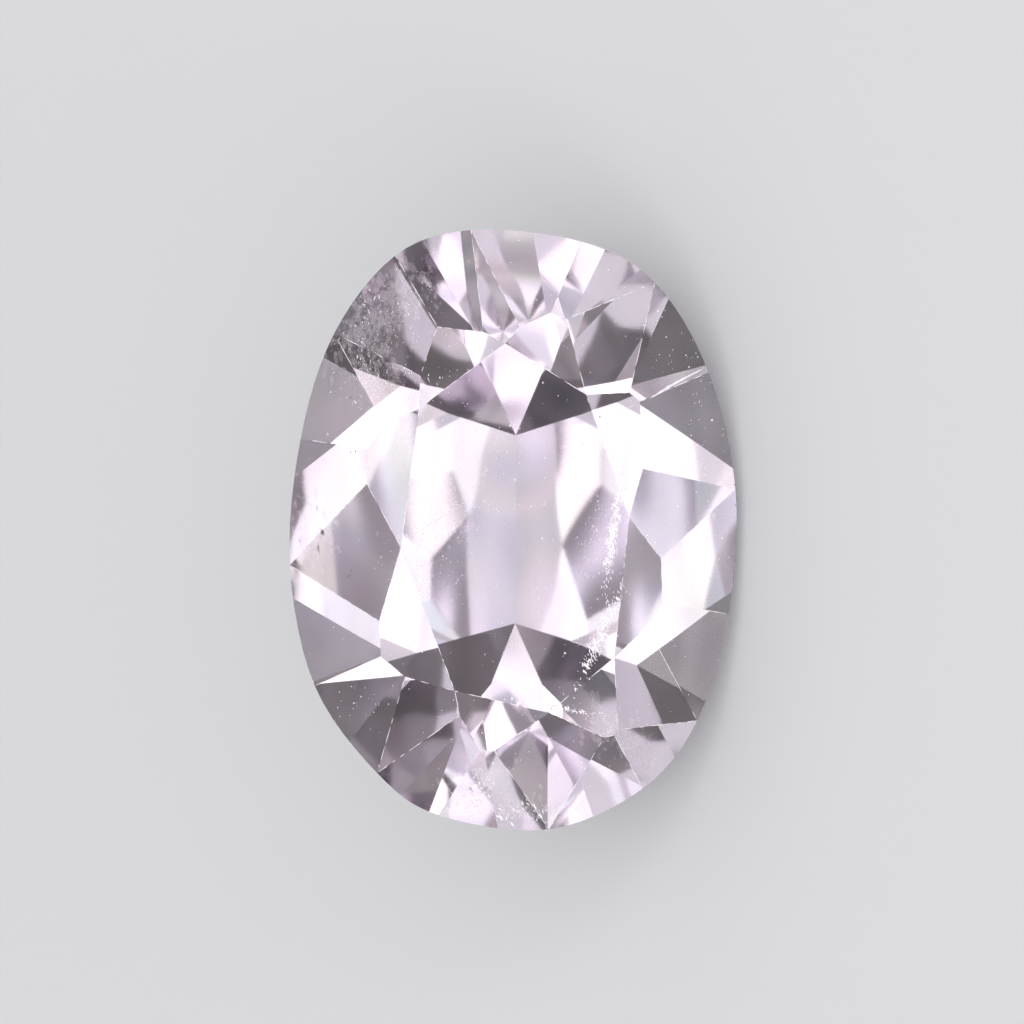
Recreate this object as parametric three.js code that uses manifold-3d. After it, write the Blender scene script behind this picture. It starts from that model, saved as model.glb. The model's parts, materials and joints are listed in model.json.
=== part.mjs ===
// An oval brilliant-cut kunzite of about 1.65 carats, lying on one long side of its pavilion.
//
// The stone is cut the way a lapidary cuts it: a rough oval blank is ground away, one flat at a
// time, until the table, the crown, the girdle and the pavilion are left. Every facet is a plane,
// and the stone is one closed convex solid.
//
// Stone frame, used while cutting: +X to the right and +Y to the top of the oval as seen from
// above the table, +Z out of the table, z = 0 at the upper edge of the girdle. Millimetres.

import * as THREE from 'three';
import { mergeVertices } from 'three/addons/utils/BufferGeometryUtils.js';
import Module from 'manifold-3d';

// ---- driving dimensions ----------------------------------------------------------------------

const CROWN_HEIGHT = 1.1; // table above the girdle's upper edge
const STAR_POINT_HEIGHT = 0.78; // outer point of each star facet above the same edge
const GIRDLE_THICKNESS = 0.25;
const GIRDLE_FLATS = 96; // the girdle is ground round, so it takes many narrow flats
const BLANK_DEPTH = 12; // the rough blank, deep enough for the whole pavilion
const BLANK_MARGIN = 1; // how far the blank stands above the table
const CUTTER_SIZE = 30; // edge of the block that stands for the lap when a facet is cut

// Each list goes round from the top of the oval through its left side, one entry per crown main.
const TABLE_CORNERS = [
  [-0.15, 2.76], [-1.43, 1.79], [-1.7, -0.27], [-0.9, -2.4],
  [0.5, -2.72], [1.47, -1.9], [1.69, 0.18], [1.05, 2.0],
];
const GIRDLE_TIPS = [
  [-0.66, 4.46], [-2.7, 2.92], [-3.36, -0.53], [-2.06, -3.63],
  [0.5, -4.47], [2.71, -2.85], [3.28, 0.6], [2.08, 3.68],
];
// Star points and girdle breaks lie between a main and the one before it in the lists above.
const STAR_POINTS = [
  [0.53, 3.22], [-1.16, 3.01], [-2.2, 1.19], [-2.0, -1.89],
  [-0.53, -3.29], [1.47, -3.06], [2.19, -1.1], [1.85, 1.9],
];
const GIRDLE_BREAKS = [
  [0.98, 4.29], [-1.79, 4.08], [-3.2, 1.35], [-2.99, -2.33],
  [-1.14, -4.26], [1.9, -3.86], [3.18, -1.26], [2.88, 2.34],
];

// The pavilion is a regular one. Its mains meet at the two ends of a keel that runs along the stone,
// and two lower girdle facets share each gap between neighbouring mains.
const KEEL_DEPTH = 3; // below the girdle's lower edge
const KEEL_LENGTH = 2.8;
const PAVILION_MAINS = 8;
const LOWER_GIRDLE_REACH = 0.7; // how far down the junction of two mains these facets reach
const LOWER_GIRDLE_TURN = 0.3; // how far round from its main to the next one such a facet faces
const RESTING_MAIN = 0; // the stone lies on the main that faces +X in the stone frame

// ---- the solid tools ---------------------------------------------------------------------------

const wasm = await Module();
wasm.setup();

function toSolid(geometry) {
  const bare = geometry.clone();
  bare.deleteAttribute('normal');
  bare.deleteAttribute('uv');
  const merged = mergeVertices(bare, 1e-5);
  return new wasm.Manifold(new wasm.Mesh({
    numProp: 3,
    vertProperties: new Float32Array(merged.attributes.position.array),
    triVerts: new Uint32Array(merged.index.array),
  }));
}

function toGeometry(solid) {
  const mesh = solid.getMesh();
  const geometry = new THREE.BufferGeometry();
  geometry.setAttribute('position', new THREE.BufferAttribute(mesh.vertProperties, 3));
  geometry.setIndex(new THREE.BufferAttribute(mesh.triVerts, 1));
  const faceted = geometry.toNonIndexed();
  faceted.computeVertexNormals();
  return faceted;
}

// Grinds away all that lies outside a plane, as a flat lap does.
function grind(solid, plane) {
  const lap = new THREE.BoxGeometry(CUTTER_SIZE, CUTTER_SIZE, CUTTER_SIZE);
  const turn = new THREE.Quaternion().setFromUnitVectors(new THREE.Vector3(0, 0, 1), plane.normal);
  const centre = plane.normal.clone().multiplyScalar(CUTTER_SIZE / 2 - plane.constant);
  lap.applyQuaternion(turn);
  lap.translate(centre.x, centre.y, centre.z);
  return solid.subtract(toSolid(lap));
}

// ---- facet planes ------------------------------------------------------------------------------

const at = ([x, y], z) => new THREE.Vector3(x, y, z);

function planeThrough(a, b, c) {
  const plane = new THREE.Plane().setFromCoplanarPoints(a, b, c);
  return plane.normal.z < 0 ? plane.negate() : plane;
}

function tableFacet() {
  return new THREE.Plane(new THREE.Vector3(0, 0, 1), -CROWN_HEIGHT);
}

function starFacet(i) {
  const previous = TABLE_CORNERS[(i + 7) % 8];
  return planeThrough(
    at(previous, CROWN_HEIGHT),
    at(TABLE_CORNERS[i], CROWN_HEIGHT),
    at(STAR_POINTS[i], STAR_POINT_HEIGHT),
  );
}

// A crown main runs from its table corner to its girdle tip, level across its two star points.
function crownMain(i) {
  const corner = at(TABLE_CORNERS[i], CROWN_HEIGHT);
  const tip = at(GIRDLE_TIPS[i], 0);
  const first = STAR_POINTS[i];
  const second = STAR_POINTS[(i + 1) % 8];
  const across = new THREE.Vector3(second[0] - first[0], second[1] - first[1], 0);
  return planeThrough(corner, tip, corner.clone().add(across));
}

function upperGirdleFacet(i, tip) {
  return planeThrough(at(STAR_POINTS[i], STAR_POINT_HEIGHT), at(tip, 0), at(GIRDLE_BREAKS[i], 0));
}

function crownFacets() {
  const planes = [tableFacet()];
  for (let i = 0; i < 8; i += 1) {
    planes.push(crownMain(i));
    planes.push(starFacet(i));
    planes.push(upperGirdleFacet(i, GIRDLE_TIPS[(i + 7) % 8]));
    planes.push(upperGirdleFacet(i, GIRDLE_TIPS[i]));
  }
  return planes;
}

// ---- girdle outline ----------------------------------------------------------------------------

// A smooth closed curve through the sixteen points where crown facets meet the girdle.
function girdleOutline() {
  const points = [];
  for (let i = 0; i < 8; i += 1) {
    points.push(at(GIRDLE_BREAKS[i], 0));
    points.push(at(GIRDLE_TIPS[i], 0));
  }
  const curve = new THREE.CatmullRomCurve3(points, true, 'catmullrom', 0.5);
  return curve.getPoints(GIRDLE_FLATS).slice(0, GIRDLE_FLATS).map((p) => new THREE.Vector2(p.x, p.y));
}

const OUTLINE = girdleOutline();

function outlineReach(direction) {
  return Math.max(...OUTLINE.map((p) => p.dot(direction)));
}

// ---- pavilion ----------------------------------------------------------------------------------

const MAIN_TURN = (2 * Math.PI) / PAVILION_MAINS;

// Positions on the pavilion are kept as a plan point and a depth below the girdle's lower edge.
function facing(turn) {
  return new THREE.Vector2(Math.cos(turn), Math.sin(turn));
}

// The plane that faces a direction, starts at the girdle's lower edge and passes through a point.
function pavilionFacet(direction, plan, depth) {
  const run = outlineReach(direction) - direction.dot(plan);
  const normal = new THREE.Vector3(direction.x * depth, direction.y * depth, -run).normalize();
  return new THREE.Plane().setFromNormalAndCoplanarPoint(normal, at(plan.toArray(), -GIRDLE_THICKNESS - depth));
}

// The end of the keel on the side that a main faces.
function keelEnd(turn) {
  return new THREE.Vector2(0, Math.sign(Math.sin(turn)) * (KEEL_LENGTH / 2));
}

function pavilionMain(i) {
  const turn = i * MAIN_TURN;
  return pavilionFacet(facing(turn), keelEnd(turn), KEEL_DEPTH);
}

// Where the planes of a main and the next one cross at the girdle's lower edge.
function girdleCrossing(i) {
  const [first, second] = [facing(i * MAIN_TURN), facing((i + 1) * MAIN_TURN)];
  const [a, b] = [outlineReach(first), outlineReach(second)];
  const spread = first.cross(second);
  return new THREE.Vector2(
    (a * second.y - b * first.y) / spread,
    (b * first.x - a * second.x) / spread,
  );
}

function lowerGirdlePair(i) {
  const keel = keelEnd((i + 0.5) * MAIN_TURN);
  const meet = girdleCrossing(i).lerp(keel, LOWER_GIRDLE_REACH);
  const depth = LOWER_GIRDLE_REACH * KEEL_DEPTH;
  const turns = [i + LOWER_GIRDLE_TURN, i + 1 - LOWER_GIRDLE_TURN];
  return turns.map((turn) => pavilionFacet(facing(turn * MAIN_TURN), meet, depth));
}

function pavilionFacets() {
  const planes = [];
  for (let i = 0; i < PAVILION_MAINS; i += 1) {
    planes.push(pavilionMain(i));
    planes.push(...lowerGirdlePair(i));
  }
  return planes;
}

// ---- the stone ---------------------------------------------------------------------------------

function blank() {
  const outline = new THREE.Shape(OUTLINE);
  const rough = new THREE.ExtrudeGeometry(outline, { depth: BLANK_DEPTH, bevelEnabled: false });
  rough.translate(0, 0, CROWN_HEIGHT + BLANK_MARGIN - BLANK_DEPTH);
  return toSolid(rough);
}

function stone() {
  return [...crownFacets(), ...pavilionFacets()].reduce(grind, blank());
}

// Turns the resting facet to face straight down and the table towards -Y, with the stone's long
// axis along +X, and sets the stone on z = 0, centred in plan.
function layDown(mesh) {
  const under = pavilionMain(RESTING_MAIN).normal;
  const tip = new THREE.Quaternion().setFromUnitVectors(under, new THREE.Vector3(0, 0, -1));
  const turn = new THREE.Quaternion().setFromAxisAngle(new THREE.Vector3(0, 0, 1), -Math.PI / 2);
  mesh.quaternion.multiplyQuaternions(turn, tip);
  mesh.updateMatrixWorld(true);
  const box = new THREE.Box3().setFromObject(mesh, true);
  const centre = box.getCenter(new THREE.Vector3());
  mesh.position.set(-centre.x, -centre.y, -box.min.z);
}

const kunzite = new THREE.Mesh(
  toGeometry(stone()),
  new THREE.MeshStandardMaterial({ color: 0xe3d3e2, roughness: 0.02, metalness: 0 }),
);
kunzite.name = 'kunzite';
layDown(kunzite);

const object = new THREE.Group();
object.add(kunzite);

export default object;
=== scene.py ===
import json
import math
import random

import bpy
from mathutils import Matrix, Vector
from mathutils.bvhtree import BVHTree

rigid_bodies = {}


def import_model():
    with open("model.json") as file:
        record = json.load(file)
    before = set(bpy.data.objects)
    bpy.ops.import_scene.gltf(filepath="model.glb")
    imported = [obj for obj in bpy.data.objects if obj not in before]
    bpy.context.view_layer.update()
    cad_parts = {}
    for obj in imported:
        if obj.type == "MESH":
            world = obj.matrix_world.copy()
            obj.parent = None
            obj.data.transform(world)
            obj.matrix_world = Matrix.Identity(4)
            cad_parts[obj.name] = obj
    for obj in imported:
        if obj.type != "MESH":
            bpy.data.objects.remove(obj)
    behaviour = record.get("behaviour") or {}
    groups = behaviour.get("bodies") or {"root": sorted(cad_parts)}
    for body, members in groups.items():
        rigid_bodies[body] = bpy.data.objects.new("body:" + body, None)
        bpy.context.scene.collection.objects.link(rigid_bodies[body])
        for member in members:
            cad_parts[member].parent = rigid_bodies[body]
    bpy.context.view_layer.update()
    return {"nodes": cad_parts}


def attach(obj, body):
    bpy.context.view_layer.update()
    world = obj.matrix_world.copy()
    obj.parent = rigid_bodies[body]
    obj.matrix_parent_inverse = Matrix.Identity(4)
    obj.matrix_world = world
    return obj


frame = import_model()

MM = 0.001
MICRON = 1e-6
STONE = frame["nodes"]["kunzite"]
SCENE = bpy.context.scene
DRAW = random.Random(7)

# ---- the view ----------------------------------------------------------------------------------
# The frame is 1024 pixels over 15.26 mm at the girdle, and the stone's middle is at pixel (513, 530).
FRAME_PIXELS = 1024
MM_PER_PIXEL = 0.0149
STONE_MIDDLE_PIXEL = (513, 530)
CAMERA_DISTANCE = 280 * MM  # from the table
SENSOR = 36.0  # millimetres
NEAR_CLIP = 5 * MM
FAR_CLIP = 10.0  # metres
FLOOR_REACH = 1.2  # metres from the stone to each side of the floor
FLOOR_GAP = 0.03 * MM  # a film of air stays between the polished facet and the floor
LIGHT_BOUNCES = 12  # enough for light that goes round inside the stone

# ---- the stone ---------------------------------------------------------------------------------
CROWN_HEIGHT = 1.1 * MM
TABLE_LEAN = (0.3, 0.95)  # the table is the largest facet whose normal's rise is between these
CROWN_FACING = 0.3  # a crown facet's normal has more than this share of the table's
SAME_PLANE_COSINE = 0.99999
SAME_PLANE_SLACK = 2 * MICRON
WELD_STEPS = 1e7  # per metre: corners that agree to a tenth of a micron are one corner
SMALLEST_JUNCTION = math.radians(1.5)  # facets at less than this angle have no edge between them
REFRACTIVE_INDEX = 1.665
BODY_COLOUR = (0.94, 0.82, 0.95)  # pale lilac-pink
BODY_DENSITY = 80.0  # per metre of stone

# ---- the light ---------------------------------------------------------------------------------
# A round light dome hangs over the table, with the dark lens in its middle, and the room is dim
# beyond its rim. Angle in degrees from the lens as seen from the stone, brightness and tint.
WHITE = (1.0, 0.97, 1.0)
WARM = (1.0, 0.93, 0.96)
COOL = (0.96, 0.95, 1.0)
DOME_RIM = 50.0
DOME_RADIUS = CAMERA_DISTANCE  # about the middle of the girdle
DOME_RINGS = 40
DOME_SIDES = 96
LIGHT = [
    (0.0, 0.2, COOL),
    (3.5, 0.25, COOL),
    (4.5, 1.3, WHITE),
    (16.0, 1.3, WHITE),
    (19.0, 0.7, COOL),
    (27.0, 0.7, COOL),
    (30.0, 1.4, WHITE),
    (42.0, 1.2, WHITE),
    (DOME_RIM, 0.3, WARM),
    (53.0, 0.05, WARM),
    (62.0, 0.06, WARM),
    (72.0, 0.12, WARM),
    (85.0, 0.3, WARM),
    (145.0, 0.4, COOL),
]
CARD_LIGHT = 2.5  # of the two white cards that stand at the ends of the stone
CARD_FALLOFF = 30  # how sharply their light is gathered at the ends
LAMP_STRENGTH = 1.4
LAMP_SPREAD = 120  # degrees
PATCH_SIZE = 3.5  # degrees, the size of the light's brighter and darker places
PATCH_DRAW = 31.5  # which draw of them is used
UNEVENNESS = 0.45  # how far their brightness varies
TINT_SWING = (0.5, 0.35, 0.7)  # and how far their red, green and blue do

# Hand-polished facets are never quite flat or quite clear: they roll a little and keep a trace of
# haze, which softens what is seen deep inside the stone.
ROLL_LENGTH = 1.5 * MM
ROLL_HEIGHT = 16 * MICRON
POLISH_ROUGHNESS = 0.05

# ---- marks of wear and dust, most with a painted glow, in mm to the right and to the top of the stone's middle ---
CLEARANCE = 1 * MICRON  # between the stone and what lies on it
SPECK_SIDES = 6
SPECK_REACH = (0.7, 1.15)  # least and largest share of its size that a speck's corner reaches
SPECK_PEAK_SHIFT = 0.3  # largest share of its length by which its peak is off the middle
FIELD_SPREAD = 1.8  # a field's half-length over the standard deviation of its specks
SIZE_SPREAD = 0.45  # standard deviation of the logarithm of a speck's size
RUBBING_TURN = 0.35  # radians from the stone's length, the way in which long specks lie
LINE_WIDTHS = (0.6, 1.2)  # least and largest share of its width along a scratch or a worn edge

# Scratches and one long chip: two ends, and width in microns.
SCRATCH_STEPS = 14
SCRATCH_BOW = 0.012  # mm off the straight line at its middle
SCRATCH_HEIGHT = 3 * MICRON
SCRATCHES = [
    ((-1.41, -0.03), (-0.90, 0.255), 16),
    ((-1.035, 0.15), (-1.065, -0.075), 12),
    ((-1.17, -0.45), (-1.275, -0.705), 12),
    ((1.815, 1.875), (1.515, 1.635), 12),
    ((0.705, 1.20), (0.96, 1.38), 14),
    ((0.78, 0.98), (1.02, 1.13), 9),
    ((2.03, 1.95), (2.83, 2.40), 45),
    ((2.45, 0.93), (3.28, 0.70), 10),
]
PIT_LENGTH = 16 * MICRON
PIT_WIDTH = 11 * MICRON
PIT_HEIGHT = 4 * MICRON
PITS = [
    (-2.415, 1.965), (-2.415, 1.155), (-2.34, 1.17), (1.29, 1.68),
    (-2.445, -0.69), (-2.40, -0.60), (3.30, 0.675), (3.31, 0.375),
]

# Worn edges: runs and the gaps between them, as mean and deviation of the logarithm of their mm.
WORN_RUN = (-1.6, 0.8)
WORN_GAP = (-2.4, 0.9)
WORN_START = 0.15  # mm, the largest gap before the first run
WORN_SHORTEST = 0.03  # mm
WORN_STEP = 0.05  # mm between the points of a run
WORN_WIDTH = 11 * MICRON
WORN_HEIGHT = 1.5 * MICRON

# Fields of specks: middle, half-lengths along and across, turn in degrees, count, size in microns.
DUST_FIELDS = {
    "whole crown": ((0.0, 0.0), (4.3, 3.2), 90, 420, 12),
    "left table": ((-1.15, 0.0), (1.1, 0.55), 60, 140, 13),
    "right of the table's middle": ((1.25, 0.0), (0.75, 0.25), 86, 60, 14),
    "left of the heart": ((-0.6, 1.25), (0.7, 0.5), 0, 45, 13),
    "lower right of the table": ((1.2, -1.7), (0.6, 0.35), 60, 45, 14),
    "right kites": ((2.9, 0.9), (1.3, 0.35), 100, 40, 14),
    "upper right": ((2.3, 2.9), (0.9, 0.6), 130, 35, 13),
    "lower left": ((-2.3, -2.6), (0.7, 0.4), 60, 40, 13),
}
SCUFFED_FIELDS = {
    "upper left kite": ((-1.95, 2.1), (1.1, 0.55), 128, 420, 5),
    "upper left rim": ((-2.0, 3.2), (0.8, 0.45), 35, 260, 5),
    "edge of the kite": ((-1.75, 1.65), (0.8, 0.18), 38, 120, 7),
    "right table edge": ((1.50, 0.05), (0.80, 0.07), 82, 520, 10),
    "lower right table edge": ((1.30, -1.55), (0.60, 0.09), 68, 360, 10),
    "lower left tip": ((-0.55, -3.9), (0.40, 0.25), 60, 150, 10),
    "bottom tip": ((0.1, -4.2), (0.45, 0.16), 0, 110, 10),
    "left table corner": ((-1.35, -0.75), (0.28, 0.08), 100, 80, 10),
    "lower table edge": ((0.55, -2.62), (0.70, 0.05), 170, 150, 10),
}
SMEARED_FIELDS = {
    "upper left rim": ((-2.0, 3.35), (0.85, 0.45), 35, 420, 50),
    "upper left kite": ((-2.1, 2.5), (0.7, 0.4), 128, 200, 50),
    "left rim": ((-3.0, -0.05), (0.7, 0.3), 85, 200, 55),
    "left of the table": ((-1.0, 0.2), (0.6, 0.3), 35, 120, 45),
    "lower left tip": ((-0.6, -3.9), (0.5, 0.35), 60, 200, 50),
    "bottom tip": ((0.2, -4.15), (0.6, 0.2), 0, 140, 45),
    "lower right": ((1.6, -3.1), (0.6, 0.3), 150, 140, 50),
}


# ---- where things are on the stone ---------------------------------------------------------------

def facet_groups(mesh):
    """Facets of a mesh as normal, area and plane offset, largest first."""
    groups = []
    for face in mesh.polygons:
        offset = face.normal.dot(face.center)
        for group in groups:
            parallel = group["normal"].dot(face.normal) > SAME_PLANE_COSINE
            if parallel and abs(group["offset"] - offset) < SAME_PLANE_SLACK:
                group["area"] += face.area
                break
        else:
            groups.append({"normal": face.normal.copy(), "offset": offset, "area": face.area})
    return sorted(groups, key=lambda g: -g["area"])


def stone_axes():
    """Right, top and out-of-the-table directions of the stone, and the middle of its table plane."""
    lowest, highest = TABLE_LEAN
    table = next(g for g in facet_groups(STONE.data) if lowest < g["normal"].z < highest)
    out = table["normal"].normalized()
    lengthwise = Vector((1, 0, 0))
    top = (lengthwise - out * lengthwise.dot(out)).normalized()
    right = top.cross(out)
    xs = [v.co.dot(right) for v in STONE.data.vertices]
    ys = [v.co.dot(top) for v in STONE.data.vertices]
    middle = right * (min(xs) + max(xs)) / 2 + top * (min(ys) + max(ys)) / 2
    return right, top, out, middle + out * table["offset"]


RIGHT, TOP, OUT, TABLE_MIDDLE = stone_axes()
GIRDLE_MIDDLE = TABLE_MIDDLE - OUT * CROWN_HEIGHT
SURFACE = BVHTree.FromPolygons(
    [v.co for v in STONE.data.vertices],
    [p.vertices for p in STONE.data.polygons],
)


def on_crown(x, y):
    """Point and normal of the crown, x mm to the right and y mm to the top of the middle, or None."""
    well_above = 10
    start = TABLE_MIDDLE + (RIGHT * x + TOP * y + OUT * well_above) * MM
    place, normal, _, _ = SURFACE.ray_cast(start, -OUT)
    if place is None or normal.dot(OUT) < CROWN_FACING:
        return None
    return place, normal


# ---- materials -----------------------------------------------------------------------------------

def new_material(name):
    material = bpy.data.materials.new(name)
    material.use_nodes = True
    material.node_tree.nodes.clear()
    return material, material.node_tree


def finish_surface(tree, shader):
    out = tree.nodes.new("ShaderNodeOutputMaterial")
    tree.links.new(shader.outputs["BSDF"], out.inputs["Surface"])
    return out


def crystal_material():
    """Clear pale lilac-pink spodumene: plain transmission, index and absorption."""
    material, tree = new_material("kunzite")
    glass = tree.nodes.new("ShaderNodeBsdfPrincipled")
    glass.inputs["Base Color"].default_value = (1, 1, 1, 1)
    glass.inputs["Roughness"].default_value = POLISH_ROUGHNESS
    glass.inputs["IOR"].default_value = REFRACTIVE_INDEX
    glass.inputs["Transmission Weight"].default_value = 1.0
    roll = tree.nodes.new("ShaderNodeTexNoise")
    roll.inputs["Scale"].default_value = 1 / ROLL_LENGTH
    roll.inputs["Detail"].default_value = 0
    slope = tree.nodes.new("ShaderNodeBump")
    slope.inputs["Strength"].default_value = 1.0
    slope.inputs["Distance"].default_value = ROLL_HEIGHT
    place = tree.nodes.new("ShaderNodeTexCoord")
    tree.links.new(place.outputs["Object"], roll.inputs["Vector"])
    tree.links.new(roll.outputs["Fac"], slope.inputs["Height"])
    tree.links.new(slope.outputs["Normal"], glass.inputs["Normal"])
    tint = tree.nodes.new("ShaderNodeVolumeAbsorption")
    tint.inputs["Color"].default_value = (*BODY_COLOUR, 1)
    tint.inputs["Density"].default_value = BODY_DENSITY
    out = finish_surface(tree, glass)
    tree.links.new(tint.outputs["Volume"], out.inputs["Volume"])
    return material


def speckled_material(name, dark, light, roughness, grain, glow=0.0, cover=1.0):
    """A matt surface mottled from dark to light, with so much grain to the metre.

    A thin film has a cover below 1 and lets the stone show through. A glow above 0 is painted light:
    the surface gives off light of its own though it is no lamp.
    """
    material, tree = new_material(name)
    paint = tree.nodes.new("ShaderNodeBsdfPrincipled")
    paint.inputs["Roughness"].default_value = roughness
    paint.inputs["Alpha"].default_value = cover
    # Emission gives the surface a painted glow, light of its own, though it is no lamp.
    paint.inputs["Emission Color"].default_value = (1, 1, 1, 1)
    paint.inputs["Emission Strength"].default_value = glow
    noise = tree.nodes.new("ShaderNodeTexNoise")
    noise.inputs["Scale"].default_value = grain
    blend = tree.nodes.new("ShaderNodeMix")
    blend.data_type = "RGBA"
    blend.inputs["A"].default_value = (*dark, 1)
    blend.inputs["B"].default_value = (*light, 1)
    place = tree.nodes.new("ShaderNodeTexCoord")
    tree.links.new(place.outputs["Object"], noise.inputs["Vector"])
    tree.links.new(noise.outputs["Fac"], blend.inputs["Factor"])
    tree.links.new(blend.outputs["Result"], paint.inputs["Base Color"])
    finish_surface(tree, paint)
    return material


# ---- specks, scratches and worn edges, most of them with a painted glow ----------------------------

def add_mesh(name, vertices, faces, material):
    mesh = bpy.data.meshes.new(name)
    mesh.from_pydata(vertices, [], faces)
    mesh.materials.append(material)
    piece = bpy.data.objects.new(name, mesh)
    SCENE.collection.objects.link(piece)
    return piece


def add_piece(name, vertices, faces, material):
    """A piece of the object itself. It rides on the stone and isn't seen in it."""
    piece = add_mesh(name, vertices, faces, material)
    piece.visible_transmission = False
    piece.visible_glossy = False
    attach(piece, "root")
    return piece


def tangents(normal, turn):
    along = (TOP - normal * TOP.dot(normal)).normalized()
    across = normal.cross(along)
    return (
        along * math.cos(turn) + across * math.sin(turn),
        across * math.cos(turn) - along * math.sin(turn),
    )


def add_speck(vertices, faces, place, normal, turn, length, width, height):
    """A low uneven lump, six-sided in plan, that barely clears the polished stone."""
    along, across = tangents(normal, turn)
    rim_depth = 0.2
    foot_depth = 0.4
    place = place + normal * (height * foot_depth + CLEARANCE)
    first = len(vertices)
    peak = first + SPECK_SIDES
    foot = peak + 1
    for i in range(SPECK_SIDES):
        angle = math.tau * i / SPECK_SIDES
        reach = DRAW.uniform(*SPECK_REACH)
        rim = along * math.cos(angle) * length * reach + across * math.sin(angle) * width * reach
        vertices.append(place + rim - normal * height * rim_depth)
    shift = DRAW.uniform(-SPECK_PEAK_SHIFT, SPECK_PEAK_SHIFT)
    vertices.append(place + along * length * shift + normal * height)
    vertices.append(place - normal * height * foot_depth)
    for i in range(SPECK_SIDES):
        a = first + i
        b = first + (i + 1) % SPECK_SIDES
        faces.append((a, b, peak))
        faces.append((b, a, foot))


def add_field(vertices, faces, field, stretch, thickness):
    """A cloud of specks. Stretch and thickness are shares of a speck's half-width."""
    (x, y), (reach_along, reach_across), turn, count, size = field
    angle = math.radians(turn)
    for _ in range(count):
        u = DRAW.gauss(0, reach_along / FIELD_SPREAD)
        v = DRAW.gauss(0, reach_across / FIELD_SPREAD)
        hit = on_crown(
            x + u * math.cos(angle) - v * math.sin(angle),
            y + u * math.sin(angle) + v * math.cos(angle),
        )
        if hit is None:
            continue
        radius = size / 2 * MICRON * DRAW.lognormvariate(0, SIZE_SPREAD)
        is_round = stretch == 1
        lie = DRAW.uniform(0, math.pi) if is_round else DRAW.gauss(RUBBING_TURN, RUBBING_TURN)
        add_speck(vertices, faces, *hit, lie, radius * stretch, radius, radius * thickness)


def add_ribbon(vertices, faces, points, normals, width, height):
    """A fine three-sided ridge along a run of points, tapered towards both ends."""
    first = len(vertices)
    last = len(points) - 1
    side_depth = 0.3
    blunt_end = 0.15
    for i, (point, normal) in enumerate(zip(points, normals)):
        ahead = points[min(i + 1, last)] - points[max(i - 1, 0)]
        side = normal.cross(ahead).normalized()
        swell = math.sqrt(math.sin(math.pi * (i + blunt_end) / (last + 2 * blunt_end)))
        half = width / 2 * swell * DRAW.uniform(*LINE_WIDTHS)
        vertices.append(point + side * half - normal * height * side_depth)
        vertices.append(point + normal * height * swell)
        vertices.append(point - side * half - normal * height * side_depth)
    for i in range(last):
        a = first + 3 * i
        for j in range(3):
            k = (j + 1) % 3
            faces.append((a + j, a + k, a + 3 + k, a + 3 + j))
    faces.append((first + 2, first + 1, first))
    end = first + 3 * last
    faces.append((end, end + 1, end + 2))


def make_specks(name, fields, stretch, thickness, material):
    vertices = []
    faces = []
    for field in fields.values():
        add_field(vertices, faces, field, stretch, thickness)
    add_piece(name, vertices, faces, material)


def make_dust_with_painted_glow():
    # The specks are pale mottled dust, with a painted glow that keeps them bright whatever light
    # reaches them.
    powder_with_painted_glow = speckled_material(
        "dust_with_painted_glow", dark=(0.62, 0.58, 0.60), light=(0.98, 0.96, 0.97),
        roughness=0.6, grain=9000, glow=0.3,
    )
    make_specks("dust_with_painted_glow", DUST_FIELDS, stretch=1, thickness=0.5, material=powder_with_painted_glow)


def make_scuffs_with_painted_glow():
    # The scuffs are pale rubbed wear, with a painted glow that keeps them bright whatever light reaches
    # them.
    rubbed_with_painted_glow = speckled_material(
        "scuffs_with_painted_glow", dark=(0.55, 0.52, 0.54), light=(0.98, 0.96, 0.98),
        roughness=0.5, grain=7000, glow=0.35,
    )
    make_specks("scuffs_with_painted_glow", SCUFFED_FIELDS, stretch=3.5, thickness=0.5, material=rubbed_with_painted_glow)


def make_smears():
    """A thin greasy film in places, mottled as it dried."""
    film = speckled_material(
        "smears", dark=(0.35, 0.31, 0.34), light=(0.95, 0.90, 0.94),
        roughness=0.5, grain=12000, cover=0.06,
    )
    make_specks("smears", SMEARED_FIELDS, stretch=2.0, thickness=0.03, material=film)


def make_scratches_with_painted_glow():
    vertices = []
    faces = []
    for (x0, y0), (x1, y1), width in SCRATCHES:
        hits = []
        for i in range(SCRATCH_STEPS + 1):
            t = i / SCRATCH_STEPS
            bow = SCRATCH_BOW * math.sin(math.pi * t)
            hits.append(on_crown(x0 + (x1 - x0) * t - bow, y0 + (y1 - y0) * t + bow))
        hits = [hit for hit in hits if hit is not None]
        points = [hit[0] for hit in hits]
        normals = [hit[1] for hit in hits]
        add_ribbon(vertices, faces, points, normals, width * MICRON, SCRATCH_HEIGHT)
    # The scratches are pale as frosted wear, with a painted glow that keeps them bright whatever light
    # reaches them.
    material = speckled_material(
        "scratches_with_painted_glow", dark=(0.7, 0.68, 0.7), light=(1.0, 0.98, 1.0),
        roughness=0.35, grain=12000, glow=0.2,
    )
    add_piece("scratches_with_painted_glow", vertices, faces, material)


def make_pits():
    """Small dark pits where the polish has broken out, filled with dirt."""
    vertices = []
    faces = []
    for x, y in PITS:
        hit = on_crown(x, y)
        if hit is not None:
            lie = DRAW.uniform(0, math.pi)
            add_speck(vertices, faces, *hit, lie, PIT_LENGTH, PIT_WIDTH, PIT_HEIGHT)
    dirt = speckled_material(
        "pits", dark=(0.05, 0.03, 0.02), light=(0.2, 0.12, 0.08),
        roughness=0.7, grain=20000,
    )
    add_piece("pits", vertices, faces, dirt)


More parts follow.
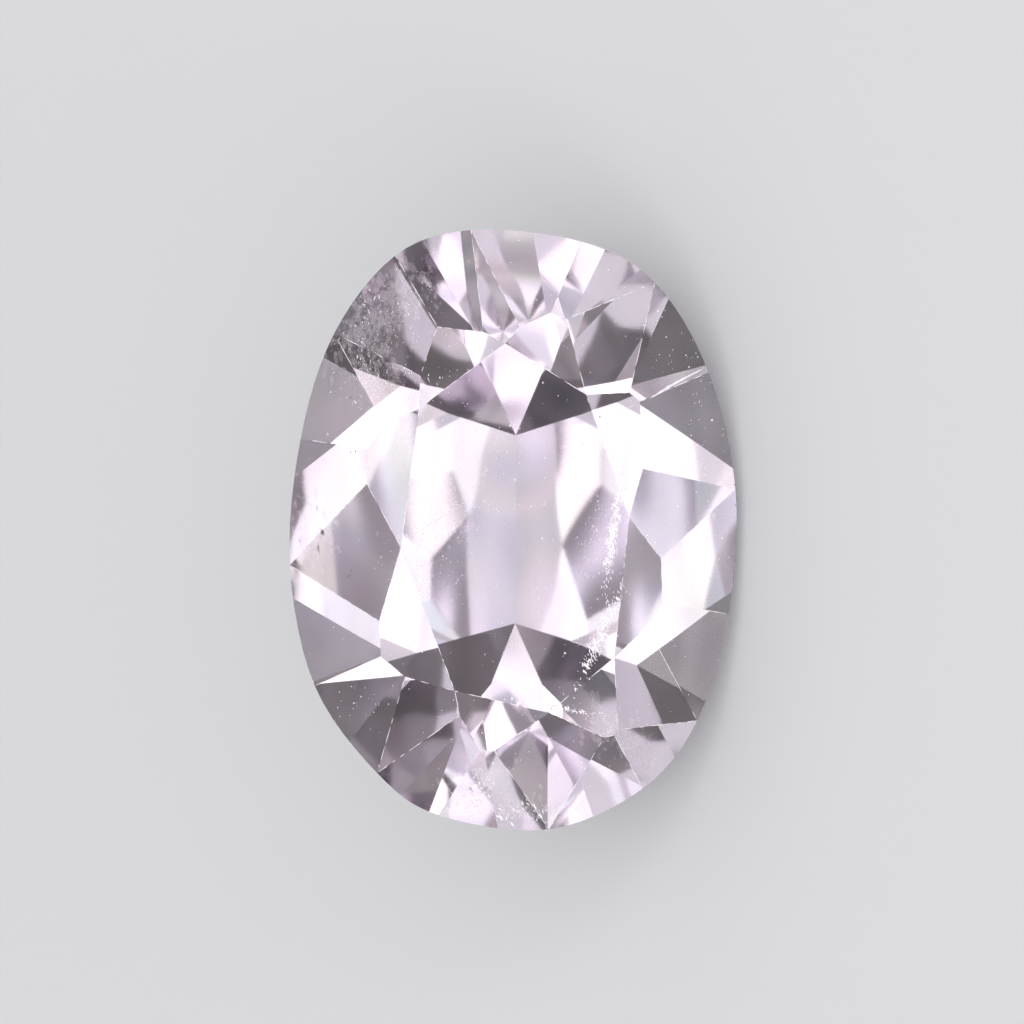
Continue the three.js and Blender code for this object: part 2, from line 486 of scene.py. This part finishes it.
def crown_edges():
    """Edges between two crown facets, as end points and the mean normal."""
    mesh = STONE.data
    by_edge = {}
    place_of = {}
    for face in mesh.polygons:
        corners = [tuple(round(c * WELD_STEPS) for c in mesh.vertices[i].co) for i in face.vertices]
        for i, key in enumerate(corners):
            place_of[key] = mesh.vertices[face.vertices[i]].co
            pair = tuple(sorted((key, corners[(i + 1) % len(corners)])))
            by_edge.setdefault(pair, []).append(face.normal)
    edges = []
    for (a, b), normals in by_edge.items():
        if len(normals) != 2 or min(n.dot(OUT) for n in normals) < CROWN_FACING:
            continue
        if normals[0].dot(normals[1]) > math.cos(SMALLEST_JUNCTION):
            continue
        edges.append((place_of[a], place_of[b], (normals[0] + normals[1]).normalized()))
    return edges


def make_worn_edges_with_painted_glow():
    """Broken bright lines where the polish has rubbed off the junctions of the crown facets: pale wear
    with a painted glow on top.
    """
    vertices = []
    faces = []
    for start, end, normal in crown_edges():
        length = (end - start).length
        place = DRAW.uniform(0, WORN_START) * MM
        while place < length - WORN_SHORTEST * MM:
            run = min(DRAW.lognormvariate(*WORN_RUN) * MM, length - place)
            steps = max(2, round(run / (WORN_STEP * MM)))
            points = [start.lerp(end, (place + run * i / steps) / length) for i in range(steps + 1)]
            add_ribbon(vertices, faces, points, [normal] * len(points), WORN_WIDTH, WORN_HEIGHT)
            place += run + DRAW.lognormvariate(*WORN_GAP) * MM
    # The rubbed edges are pale wear, with a painted glow that keeps them bright whatever light reaches
    # them.
    material = speckled_material(
        "worn_edges_with_painted_glow", dark=(0.6, 0.57, 0.6), light=(0.98, 0.96, 0.98),
        roughness=0.4, grain=8000, glow=0.3,
    )
    add_piece("worn_edges_with_painted_glow", vertices, faces, material)


# ---- the studio ------------------------------------------------------------------------------------

def make_floor():
    signs = ((-1, -1), (1, -1), (1, 1), (-1, 1))
    corners = [(x * FLOOR_REACH, y * FLOOR_REACH, -FLOOR_GAP) for x, y in signs]
    material = speckled_material(
        "floor", dark=(0.755, 0.775, 0.78), light=(0.785, 0.805, 0.81),
        roughness=0.7, grain=3,
    )
    add_mesh("floor", corners, [(0, 1, 2, 3)], material)


def make_lamp():
    """A wide soft lamp overhead for the matt surfaces only, so the polished stone doesn't mirror it."""
    data = bpy.data.lights.new("lamp", "SUN")
    data.energy = LAMP_STRENGTH
    data.angle = math.radians(LAMP_SPREAD)
    lamp = bpy.data.objects.new("lamp", data)
    matt = bpy.data.collections.new("matt")
    for piece in list(SCENE.objects):
        if piece.type == "MESH" and piece != STONE:
            matt.objects.link(piece)
    lamp.light_linking.receiver_collection = matt
    SCENE.collection.objects.link(lamp)
    lamp.visible_glossy = False
    lamp.visible_transmission = False


def make_camera():
    data = bpy.data.cameras.new("camera")
    camera = bpy.data.objects.new("camera", data)
    SCENE.collection.objects.link(camera)
    data.sensor_width = SENSOR
    data.lens = SENSOR * (CAMERA_DISTANCE + CROWN_HEIGHT) / (FRAME_PIXELS * MM_PER_PIXEL * MM)
    data.shift_x = (FRAME_PIXELS / 2 - STONE_MIDDLE_PIXEL[0]) / FRAME_PIXELS
    data.shift_y = (STONE_MIDDLE_PIXEL[1] - FRAME_PIXELS / 2) / FRAME_PIXELS
    data.clip_start = NEAR_CLIP
    data.clip_end = FAR_CLIP
    turn = Matrix((RIGHT, TOP, OUT)).transposed().to_4x4()
    camera.matrix_world = Matrix.Translation(TABLE_MIDDLE + OUT * CAMERA_DISTANCE) @ turn
    SCENE.camera = camera


def wire(tree, sockets, values):
    """Links or sets a node's input sockets in order."""
    for socket, value in zip(sockets, values):
        if isinstance(value, bpy.types.NodeSocket):
            tree.links.new(value, socket)
        else:
            socket.default_value = value


def math_node(tree, operation, *values):
    """A Math node on sockets or numbers, and its result."""
    node = tree.nodes.new("ShaderNodeMath")
    node.operation = operation
    wire(tree, node.inputs, values)
    return node.outputs["Value"]


def vector_node(tree, operation, *values):
    """A Vector Math node on sockets or vectors, and its result."""
    node = tree.nodes.new("ShaderNodeVectorMath")
    node.operation = operation
    sockets = [node.inputs[0], node.inputs["Scale"]] if operation == "SCALE" else node.inputs
    wire(tree, sockets, values)
    return node.outputs["Value" if operation == "DOT_PRODUCT" else "Vector"]


def light_colour(tree, direction):
    """Nodes that give the light that comes from a unit direction, as seen from the stone."""
    angle = math_node(tree, "ARCCOSINE", vector_node(tree, "DOT_PRODUCT", direction, OUT))
    # The angle's root gives the small angles more room on the ramp.
    root_of_turn = math_node(tree, "SQRT", math_node(tree, "DIVIDE", angle, math.pi))
    ramp = tree.nodes.new("ShaderNodeValToRGB")
    elements = ramp.color_ramp.elements
    for i, (degrees, level, tint) in enumerate(LIGHT):
        position = math.sqrt(degrees / 180)
        element = elements[i] if i < 2 else elements.new(position)
        element.position = position
        element.color = [level * part for part in tint] + [1]
    tree.links.new(root_of_turn, ramp.inputs["Fac"])
    patches = tree.nodes.new("ShaderNodeTexNoise")
    patches.noise_dimensions = "4D"
    patches.inputs["W"].default_value = PATCH_DRAW
    patches.inputs["Scale"].default_value = 1 / math.radians(PATCH_SIZE)
    patches.inputs["Detail"].default_value = 2
    tree.links.new(direction, patches.inputs["Vector"])
    # The noise keeps mostly between a quarter and three quarters: that range becomes 1 +- UNEVENNESS.
    gain, base = 4 * UNEVENNESS, 1 - 2 * UNEVENNESS
    uneven = math_node(tree, "MULTIPLY_ADD", patches.outputs["Fac"], gain, base)
    steady = [1 - swing / 2 for swing in TINT_SWING]
    tint = vector_node(tree, "MULTIPLY_ADD", patches.outputs["Color"], TINT_SWING, steady)
    endwise = math_node(tree, "ABSOLUTE", vector_node(tree, "DOT_PRODUCT", direction, TOP))
    cards = math_node(tree, "MULTIPLY", math_node(tree, "POWER", endwise, CARD_FALLOFF), CARD_LIGHT)
    lit = vector_node(tree, "ADD", ramp.outputs["Color"], vector_node(tree, "SCALE", WHITE, cards))
    return vector_node(tree, "SCALE", vector_node(tree, "MULTIPLY", lit, tint), uneven)


def make_dome():
    """The round light over the table: part of a sphere about the stone, unseen by the camera."""
    vertices = [GIRDLE_MIDDLE + OUT * DOME_RADIUS]
    for i in range(1, DOME_RINGS + 1):
        lean = math.radians(DOME_RIM * i / DOME_RINGS)
        for j in range(DOME_SIDES):
            turn = math.tau * j / DOME_SIDES
            level = RIGHT * math.cos(turn) + TOP * math.sin(turn)
            direction = OUT * math.cos(lean) + level * math.sin(lean)
            vertices.append(GIRDLE_MIDDLE + direction * DOME_RADIUS)
    faces = [(0, 1 + (j + 1) % DOME_SIDES, 1 + j) for j in range(DOME_SIDES)]
    for i in range(DOME_RINGS - 1):
        for j in range(DOME_SIDES):
            a = 1 + i * DOME_SIDES + j
            b = 1 + i * DOME_SIDES + (j + 1) % DOME_SIDES
            faces.append((a, b, b + DOME_SIDES, a + DOME_SIDES))
    material, tree = new_material("dome")
    place = tree.nodes.new("ShaderNodeNewGeometry")
    offset = vector_node(tree, "SUBTRACT", place.outputs["Position"], GIRDLE_MIDDLE)
    direction = vector_node(tree, "NORMALIZE", offset)
    glow = tree.nodes.new("ShaderNodeEmission")
    out = tree.nodes.new("ShaderNodeOutputMaterial")
    tree.links.new(light_colour(tree, direction), glow.inputs["Color"])
    tree.links.new(glow.outputs["Emission"], out.inputs["Surface"])
    material.cycles.emission_sampling = "NONE"
    dome = add_mesh("dome", vertices, faces, material)
    dome.visible_camera = False
    dome.visible_shadow = False


def make_world():
    world = bpy.data.worlds.new("studio")
    SCENE.world = world
    world.use_nodes = True
    tree = world.node_tree
    tree.nodes.clear()
    out = tree.nodes.new("ShaderNodeOutputWorld")
    back = tree.nodes.new("ShaderNodeBackground")
    coords = tree.nodes.new("ShaderNodeTexCoord")
    tree.links.new(light_colour(tree, coords.outputs["Generated"]), back.inputs["Color"])
    tree.links.new(back.outputs["Background"], out.inputs["Surface"])


def dress_stone():
    STONE.data.materials.clear()
    STONE.data.materials.append(crystal_material())


dress_stone()
make_dust_with_painted_glow()
make_scuffs_with_painted_glow()
make_smears()
make_scratches_with_painted_glow()
make_pits()
make_worn_edges_with_painted_glow()
make_floor()
make_lamp()
make_camera()
make_dome()
make_world()
SCENE.cycles.max_bounces = LIGHT_BOUNCES
SCENE.cycles.glossy_bounces = LIGHT_BOUNCES
SCENE.cycles.transmission_bounces = LIGHT_BOUNCES
SCENE.view_settings.view_transform = "Standard"
